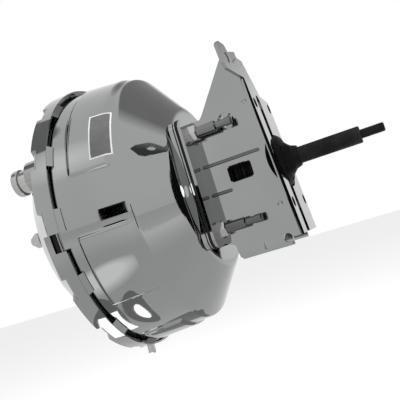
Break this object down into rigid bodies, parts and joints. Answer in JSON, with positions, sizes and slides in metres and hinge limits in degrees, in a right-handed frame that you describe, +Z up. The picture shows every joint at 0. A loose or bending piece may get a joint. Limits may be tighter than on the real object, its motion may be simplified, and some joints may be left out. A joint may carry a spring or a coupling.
{
  "type": "brake booster",
  "caption": "Single-diaphragm vacuum brake booster with chromed shells, stamped firewall bracket, check valve and threaded input rod.",
  "frame": {"origin": "centre of the face that carries the master cylinder", "axes": "+X along the booster axis towards the pedal, +Z up, -Y the side with the check valve and the bracket's ear"},
  "size_m": [0.3833, 0.2868, 0.2952],
  "materials": {
    "chrome": "polished chrome plate",
    "plated_steel": "bright zinc plate",
    "plain_steel": "plain oiled steel",
    "black_steel": "black phosphate",
    "black_rubber": "moulded black rubber",
    "gasket_paper": "dark gasket paper",
    "moulded_resin": "brown moulded resin",
    "turned_aluminium": "turned aluminium",
    "filter_felt": "grey felt"
  },
  "bodies": {
    "housing": {"front_shell": "chrome", "rear_shell": "chrome", "hub_reinforcement": "plain_steel", "master_cylinder_studs": "plated_steel", "check_valve_grommet": "black_rubber", "check_valve_body": "plated_steel", "front_seal": "black_rubber", "rear_seal": "black_rubber", "shell_peg": "plated_steel", "rear_studs": "plated_steel", "rear_nuts": "plated_steel", "backing_plate": "chrome", "paper_gasket": "gasket_paper", "spacer_plate": "chrome", "bracket_gasket": "black_rubber", "mounting_bracket": "chrome", "firewall_nuts": "plated_steel", "dust_boot": "black_rubber", "diaphragm": "black_rubber", "return_spring": "plain_steel"},
    "piston": {"power_piston": "moulded_resin", "diaphragm_plate": "plain_steel", "reaction_disc": "black_rubber", "output_pushrod": "plain_steel", "output_adjuster": "plain_steel", "retaining_key": "plain_steel", "poppet_valve": "black_rubber", "poppet_spring": "plain_steel", "poppet_retainer": "plain_steel", "air_filter": "filter_felt", "filter_retainer": "moulded_resin", "rod_return_spring": "plain_steel"},
    "valve_disc": {"check_valve_disc": "black_rubber"},
    "plunger": {"valve_plunger": "turned_aluminium"},
    "rod": {"input_rod": "plain_steel", "rod_sleeve": "black_steel", "rod_spring_seat": "plain_steel"}
  },
  "joints": [
    {"name": "piston_slide", "type": "slide", "parent": "housing", "child": "piston", "axis": [-1, 0, 0], "range_m": [0, 0.032], "stiffness_N_per_m": 5000, "springref_m": -0.02, "deforming": ["return_spring", "diaphragm"]},
    {"name": "plunger_slide", "type": "slide", "parent": "piston", "child": "plunger", "axis": [-1, 0, 0], "range_m": [0, 0.0012], "stiffness_N_per_m": 6000, "springref_m": -0.004, "deforming": ["rod_return_spring"]},
    {"name": "rod_swing", "type": "hinge", "parent": "plunger", "child": "rod", "pos_m": [0.13, 0, 0], "axis": [0, 1, 0], "range_deg": [-2.5, 2.5], "stiffness_Nm_per_rad": 40, "deforming": ["rod_return_spring", "dust_boot"]},
    {"name": "check_disc_lift", "type": "slide", "parent": "housing", "child": "valve_disc", "axis": [-1, 0, 0], "range_m": [0, 0.0015], "stiffness_N_per_m": 100, "springref_m": -0.001}
  ]
}
